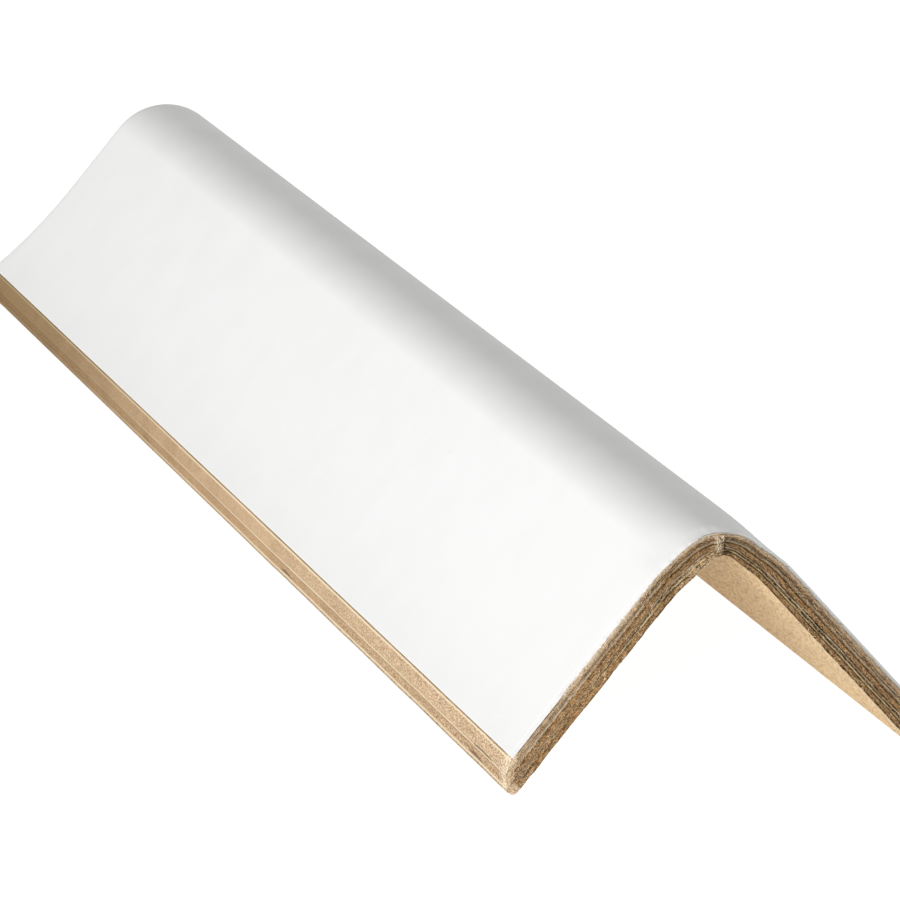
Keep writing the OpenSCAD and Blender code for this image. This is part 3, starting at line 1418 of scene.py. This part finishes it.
@dataclass
class FacingSheet:
    """The white paper over the outer side, cut clean at the left corner and frayed further up."""

    blank: Blank
    bend_columns: int = 170
    leg_columns: int = 150
    seed: int = 47
    clean_from: float = -30.2
    fray: float = 0.08
    clean_overhang: float = 0.10
    slant: float = 0.42
    crest_torn: float = 0.55
    feather: float = 0.92
    feather_l: float = 2.6
    edge_round: float = 0.07
    frayed_back: float = 0.12
    far_fray: float = 0.05
    trim_wander: float = 0.02
    fade_l: float = 6.0
    sharp_deg: float = 75.0

    def rings(self) -> Array:
        """Rings of the sheet, closer towards both cuts.

        Returns:
            Their distances from the near end.
        """
        length = self.blank.length
        parts = (np.linspace(0.0, 12.0, 19), np.linspace(14.0, 30.0, 7),
                 np.linspace(38.0, length - 20.0, 16), np.linspace(length - 14.0, length, 9))
        return np.concatenate(parts)

    def near_edge(self, run: Array, depth: Array) -> Array:
        """How far the near edge stands back from the plain cut.

        Args:
            run: run along the middle of the board.
            depth: depth within the paper.

        Returns:
            Millimetres, negative where the paper overhangs.
        """
        grain = Grain(self.seed)
        frayed = ramp(run, self.clean_from - 0.3, self.clean_from + 1.2)
        ragged = grain.rough(run * 1.7, 3.0 + depth * 0.6, 4)
        left = 1.0 - ramp(run, -4.0, 3.0)
        outer = 1.0 - depth / self.blank.section.facing_t
        back = frayed * (self.frayed_back + self.fray * ragged) - (1.0 - frayed) * self.clean_overhang
        back = back + self.crest_torn * bell(run, -0.5, 1.9) * (0.8 + 0.5 * ragged)
        return back + self.slant * left * outer + 0.02 * grain.at(run * 3.0, depth)

    def build(self, finishes: list[bpy.types.Material]) -> bpy.types.Object:
        """Build and dress the sheet.

        Args:
            finishes: the facing paper, the paper of the long edges and the facing's sawn edge.

        Returns:
            The piece.
        """
        blank, section = self.blank, self.blank.section
        turn, straight = leg_columns(self.bend_columns, self.leg_columns)
        run = turn * section.bend_run + straight * section.leg_run
        along = self.rings()[:, None]
        near_fade = np.clip(1.0 - along / self.fade_l, 0.0, 1.0)
        far_fade = np.clip((along - blank.length + self.fade_l) / self.fade_l, 0.0, 1.0)
        thin = self.feather * bell(run, -1.0, 3.0) * np.clip(1.0 - along / self.feather_l, 0.0, 1.0)
        grain = Grain(self.seed + 1)
        uneven = self.trim_wander * grain.at(along * 0.8, 2.0)
        rounded, bottom = self.edge_round, section.facing_t
        layers = ((0.0, rounded), (rounded * 0.3, rounded * 0.3), (rounded, 0.0), (bottom, 0.0))
        points, sheet = [], []
        for depth, inset in layers:
            y = blank.swept_y(run, along)
            y = y + near_fade * (self.near_edge(run, np.full_like(run, depth)) + inset)
            y = y - far_fade * (inset + self.far_fray * (1.0 + grain.rough(run * 1.7, 9.0)))
            trim = np.where(np.abs(straight) == 1.0, np.sign(run) * (inset + uneven), 0.0)
            points.append(blank.stand(run - trim, depth + (bottom - depth) * thin, y).reshape(-1, 3))
            sheet.append(blank.sheet_map(run, np.full_like(y, depth), y).reshape(-1, 3))
        high, wide = len(along), len(run)
        count = high * wide
        ids = np.arange(count).reshape(high, wide)
        row, column = outline(high, wide)
        rim = np.vstack([ids[row, column] + level * count for level in range(len(layers))])
        rim = np.hstack([rim, rim[:, :1]])
        under = ids + count * (len(layers) - 1)
        sheets = np.concatenate([grid_faces(ids), grid_faces(under, True)])
        plain = np.full(len(sheets) + len(row), Side.FACE)
        rim_sides = np.where(row == np.roll(row, -1), Side.CUT, Side.EDGE)
        piece = make_piece("facing_sheet", np.concatenate(points),
                           np.concatenate([sheets, grid_faces(rim, True)]).tolist(), finishes,
                           np.concatenate([plain, *[rim_sides] * (len(layers) - 2)]),
                           {BOARD_MAP: np.concatenate(sheet)}, self.sharp_deg)
        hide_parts(Layer.FACING.node)
        Layer.FACING.slot
        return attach(piece, BODY)


@dataclass(frozen=True)
class Patch:
    """A patch of a cut on which loose fibres lie."""

    count: int
    runs: tuple[float, float]
    depths: tuple[float, float]
    heading_deg: float
    spread_deg: float
    lengths: tuple[float, float]
    lift: float
    tones: tuple[float, float]
    end: End = End.NEAR


@dataclass
class LooseFibres:
    """Torn fibres that lie on the cuts and stand out at the fold, the corner and the frayed facing."""

    board: KraftBoard
    name: str
    seed: int
    patches: tuple[Patch, ...]
    radius: tuple[float, float] = (0.024, 0.05)
    steps: int = 4
    sides: int = 3
    taper: tuple[float, ...] = (0.7, 1.0, 0.8, 0.3)
    across: tuple[float, float, float] = (0.31, 0.22, 0.92)
    outer_gap: float = 0.25
    inner_gap: float = 0.03
    tip_gap: float = 0.1
    rest_proud: float = 0.02
    sharp_deg: float = 80.0

    def strands(self, patch: Patch, rng: np.random.Generator,
                face: CutFace) -> tuple[Array, Array, Array]:
        """Centre lines of one patch's fibres.

        Args:
            patch: where and how the fibres lie.
            rng: source of the random draws.
            face: relief of the cut.

        Returns:
            Points in metres (fibres by steps), radii in metres and tones.
        """
        count, blank, section = patch.count, self.board.blank, self.board.blank.section
        run = rng.uniform(*patch.runs, count)[:, None]
        depth = rng.uniform(*patch.depths, count)[:, None]
        heading = np.radians(patch.heading_deg + patch.spread_deg * rng.standard_normal(count))[:, None]
        curl = rng.uniform(-0.9, 0.9, count)[:, None]
        length = rng.uniform(*patch.lengths, count)[:, None]
        lift = patch.lift * rng.uniform(0.1, 1.0, count)[:, None]
        radius = rng.uniform(*self.radius, count)
        tone = rng.uniform(*patch.tones, count)
        share = np.linspace(0.0, 1.0, self.steps)[None, :]
        turned = heading + curl * share
        path_run = run + np.cumsum(np.cos(turned) * length / self.steps, 1)
        path_depth = depth + np.cumsum(np.sin(turned) * length / self.steps, 1)
        path_depth = np.clip(path_depth, self.outer_gap, section.board_t - self.inner_gap)
        tip = section.run_at(section.edge_s(path_depth)) - self.tip_gap
        path_run = np.clip(path_run, -tip, tip)
        back = face.recess(path_run, np.maximum(path_depth, section.facing_t))
        proud = self.rest_proud + lift * share**1.5
        y = blank.cut_y(patch.end, path_run, back - proud)
        return blank.stand(path_run, path_depth, y), radius * MM, tone

    def build(self, finish: bpy.types.Material, slot: str) -> bpy.types.Object:
        """Build and dress all patches as one piece.

        Args:
            finish: the fibres' material.
            slot: the record's material slot; not used.

        Returns:
            The piece.
        """
        rng = np.random.default_rng(self.seed)
        faces_of = self.board.faces()
        drawn = [self.strands(patch, rng, faces_of[patch.end]) for patch in self.patches]
        line, radius, tone = (np.concatenate(part) for part in zip(*drawn))
        ahead = unit(np.gradient(line, axis=1))
        side = unit(np.cross(ahead, np.array(self.across)))
        over = np.cross(side, ahead)
        angle = np.linspace(0.0, 2.0 * math.pi, self.sides, endpoint=False)
        around = side[:, :, None] * np.cos(angle)[:, None] + over[:, :, None] * np.sin(angle)[:, None]
        points = line[:, :, None] + around * (radius[:, None] * np.array(self.taper))[:, :, None, None]
        count = len(line)
        ids = np.arange(count * self.steps * self.sides).reshape(count, self.steps, self.sides)
        closed = np.concatenate([ids, ids[:, :, :1]], 2)
        before, after = closed[:, :-1], closed[:, 1:]
        quads = np.stack([after[..., :-1], after[..., 1:], before[..., 1:], before[..., :-1]], -1)
        faces = quads.reshape(-1, 4).tolist() + ids[:, 0].tolist() + ids[:, -1, ::-1].tolist()
        maps = {TONE_MAP: np.repeat(tone, self.steps * self.sides)}
        piece = make_piece(self.name, points, faces, [finish], None, maps, self.sharp_deg)
        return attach(piece, BODY)


@dataclass(frozen=True)
class Viewpoint:
    """The camera, at the photograph's angle."""

    place: tuple[float, float, float] = (-282.81, -959.07, 271.44)
    azimuth_deg: float = 16.881
    elevation_deg: float = 14.783
    roll_deg: float = -0.505
    lens_mm: float = 261.72
    sensor_mm: float = 36.0

    def add(self) -> bpy.types.Object:
        """Add the camera and make it the scene's own.

        Returns:
            The camera.
        """
        angles = (self.azimuth_deg, self.elevation_deg, self.roll_deg)
        azimuth, elevation, roll = (math.radians(angle) for angle in angles)
        ahead = Vector((math.sin(azimuth) * math.cos(elevation), math.cos(azimuth) * math.cos(elevation),
                        -math.sin(elevation)))
        level = Vector((math.cos(azimuth), -math.sin(azimuth), 0.0))
        upright = level.cross(ahead)
        right = level * math.cos(roll) + upright * math.sin(roll)
        up = right.cross(ahead)
        data = bpy.data.cameras.new("viewpoint")
        data.lens, data.sensor_width, data.sensor_fit = self.lens_mm, self.sensor_mm, "HORIZONTAL"
        camera = bpy.data.objects.new("viewpoint", data)
        turn = Matrix((right, up, -ahead)).transposed().to_4x4()
        camera.matrix_world = Matrix.Translation(Vector(self.place) * MM) @ turn
        bpy.context.scene.collection.objects.link(camera)
        bpy.context.scene.camera = camera
        return camera


@dataclass(frozen=True)
class Panel:
    """A soft studio lamp: a flat panel that looks at the part."""

    name: str
    place: tuple[float, float, float]
    size: tuple[float, float]
    radiance: float
    aim: tuple[float, float, float] = (0.0, 0.0, 0.02)

    def add(self) -> bpy.types.Object:
        """Add the lamp; places and sizes are in metres.

        Returns:
            The lamp.
        """
        data = bpy.data.lights.new(self.name, "AREA")
        data.shape, data.size, data.size_y = "RECTANGLE", *self.size
        data.energy = self.radiance * math.pi * self.size[0] * self.size[1]
        lamp = bpy.data.objects.new(self.name, data)
        lamp.location = self.place
        lamp.rotation_euler = (Vector(self.aim) - Vector(self.place)).to_track_quat("-Z", "Y").to_euler()
        lamp.visible_camera = False
        lamp.visible_glossy = False
        bpy.context.scene.collection.objects.link(lamp)
        return lamp


@dataclass(frozen=True)
class Studio:
    """White floor, soft lamps and an even sky."""

    floor_m: float = 6.0
    floor_white: Colour = (0.34, 0.34, 0.34)
    glow: Colour = (1.0, 1.0, 1.0)
    floor_glow: float = 0.45
    floor_seen: float = 0.94
    sky_tint: Colour = (1.0, 0.99, 0.96)
    sky: float = 0.51
    panels: tuple[Panel, ...] = (
        Panel("left_panel", (-0.40, -0.30, 0.012), (1.10, 0.022), 8.5, aim=(0.0, -0.30, 0.012)),
        Panel("light_table", (-0.23, -0.30, 0.0008), (0.34, 1.10), 1.4, aim=(-0.23, -0.30, 1.0)),
        Panel("front_panel", (-0.75, -1.05, 0.07), (1.0, 0.14), 18.5),
    )

    def build(self) -> bpy.types.Object:
        """Add the floor, the lamps and the sky.

        Returns:
            The floor.
        """
        half = self.floor_m / 2
        around = ((-half, -half), (half, -half), (half, half), (-half, half))
        corners = np.array([(x, y, 0.0) for x, y in around])
        floor = make_piece("studio_floor", corners, [[0, 1, 2, 3]], [self._floor_finish()])
        for panel in self.panels:
            panel.add()
        self._light_sky()
        return floor

    def _floor_finish(self) -> bpy.types.Material:
        """A white floor that is lit from within, so that shadows on it stay soft.

        Returns:
            The material.
        """
        made = bpy.data.materials.new("studio_floor")
        graph = Graph(made)
        paint = graph.node("ShaderNodeBsdfDiffuse", None, {"Color": (*self.floor_white, 1.0)})
        glow = (*self.glow, 1.0)
        lit, seen = (graph.node("ShaderNodeEmission", None, {"Color": glow, "Strength": strength})
                     for strength in (self.floor_glow, self.floor_seen))
        light = graph.blend(self._seen(graph), lit, seen)
        graph.surface(graph.node("ShaderNodeAddShader", None, {0: paint.outputs[0], 1: light.outputs[0]}))
        return made

    @staticmethod
    def _seen(graph: Graph) -> Signal:
        """Tell what the camera sees from light that falls on the part.

        Args:
            graph: the nodes to add to.

        Returns:
            1 for what is seen, straight or by reflection, and 0 for other light.
        """
        rays = graph.node("ShaderNodeLightPath")
        kinds = ("Is Camera Ray", "Is Glossy Ray", "Is Transmission Ray")
        camera, glossy, clear = (Signal(graph, rays.outputs[kind]) for kind in kinds)
        return camera | glossy | clear

    def _light_sky(self) -> None:
        """An even sky that the camera and reflections see as white."""
        world = bpy.data.worlds.new("studio_sky")
        bpy.context.scene.world = world
        graph = Graph(world)
        sockets = {"Color": (*self.sky_tint, 1.0), "Strength": self.sky}
        lit = graph.node("ShaderNodeBackground", None, sockets)
        seen = graph.node("ShaderNodeBackground", None, {"Color": (*self.glow, 1.0)})
        light = graph.blend(self._seen(graph), lit, seen)
        graph.node("ShaderNodeOutputWorld", None, {"Surface": light.outputs[0]})


def kraft_patches(section: Section) -> tuple[Patch, ...]:
    """Patches of brown and tan fibres.

    Args:
        section: the board's cross-section.

    Returns:
        The cut faces at both ends, the torn fold, the worn corner and the chipped inner edge.
    """
    top, bottom, tip = section.facing_t, section.board_t, section.run_at(section.leg_w)
    return (
        Patch(520, (-tip + 1.0, -0.5), (top, bottom), 0.0, 40.0, (0.25, 0.75), 0.08, (0.28, 0.6)),
        Patch(330, (-tip + 1.0, -0.5), (top, bottom), 0.0, 22.0, (0.3, 0.9), 0.08, (0.0, 0.12)),
        Patch(320, (0.5, tip - 1.0), (top, bottom), 0.0, 34.0, (0.2, 0.55), 0.08, (0.25, 0.55)),
        Patch(330, (0.5, tip - 1.0), (top, bottom), 0.0, 20.0, (0.35, 1.2), 0.10, (0.0, 0.1)),
        Patch(80, (-0.75, 0.25), (top - 0.2, bottom - 1.6), 90.0, 12.0, (0.6, 1.3), 0.25, (0.5, 0.9)),
        Patch(60, (-0.65, 0.25), (top, bottom - 1.0), 90.0, 12.0, (0.5, 1.3), 0.25, (0.0, 0.12)),
        Patch(170, (-9.5, -0.4), (2.9, bottom), 40.0, 40.0, (0.3, 0.8), 0.3, (0.3, 0.8)),
        Patch(180, (-tip - 0.2, -tip + 4.4), (0.6, bottom), 60.0, 50.0, (0.25, 0.7), 0.22, (0.4, 0.85)),
        Patch(60, (18.0, tip - 2.0), (bottom - 0.5, bottom), 70.0, 40.0, (0.3, 0.7), 0.2, (0.3, 0.8)),
        Patch(700, (-tip + 1.0, tip - 1.0), (top, bottom), 0.0, 35.0, (0.35, 1.2), 0.10, (0.05, 0.6),
              End.FAR),
    )


def facing_patches(section: Section, sheet: FacingSheet) -> tuple[Patch, ...]:
    """Patches of pale fibres along the facing's frayed edge.

    Args:
        section: the board's cross-section.
        sheet: the facing, which is clean towards the left corner.

    Returns:
        The patches.
    """
    top, tip = section.facing_t, section.run_at(section.facing_edge_s)
    return (
        Patch(220, (sheet.clean_from, -3.0), (top, top + 0.45), 60.0, 60.0, (0.15, 0.34), 0.10,
              (0.35, 0.75)),
        Patch(260, (1.5, tip), (top, top + 0.35), 60.0, 60.0, (0.15, 0.35), 0.10, (0.2, 0.55)),
        Patch(160, (-tip, tip), (top - 0.1, top + 0.3), 90.0, 40.0, (0.25, 0.6), 0.12, (0.5, 0.95),
              End.FAR),
    )


def main() -> None:
    """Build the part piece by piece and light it."""
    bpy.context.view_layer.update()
    bpy.context.scene.view_settings.view_transform = "Standard"
    blank = Blank.from_frame()
    section = blank.section
    Viewpoint().add()
    Studio().build()
    sheet = FacingSheet(blank)
    board = KraftBoard(blank)
    edge = KraftPaper.for_long_edge().material(section, board.nicks)
    liner = KraftPaper.for_inner_face().material(section)
    cut = CutPlies().material(section, sheet.clean_from)
    pieces = [
        board.build([liner, edge, cut]),
        sheet.build([FacingPaper().material(), edge, FacingCut().material(sheet.clean_from)]),
    ]
    strand = FibreStrand().material()
    loose = (("kraft_fibres", 71, kraft_patches(section), Layer.KRAFT),
             ("facing_fibres", 83, facing_patches(section, sheet), Layer.FACING))
    for name, seed, patches, layer in loose:
        pieces.append(LooseFibres(board, name, seed, patches).build(strand, layer.slot))
    for piece in pieces:
        LOG.info("%s: %d faces", piece.name, len(piece.data.polygons))


if __name__ == "__main__":
    logging.basicConfig(level=logging.INFO, format="%(name)s: %(message)s")
    main()
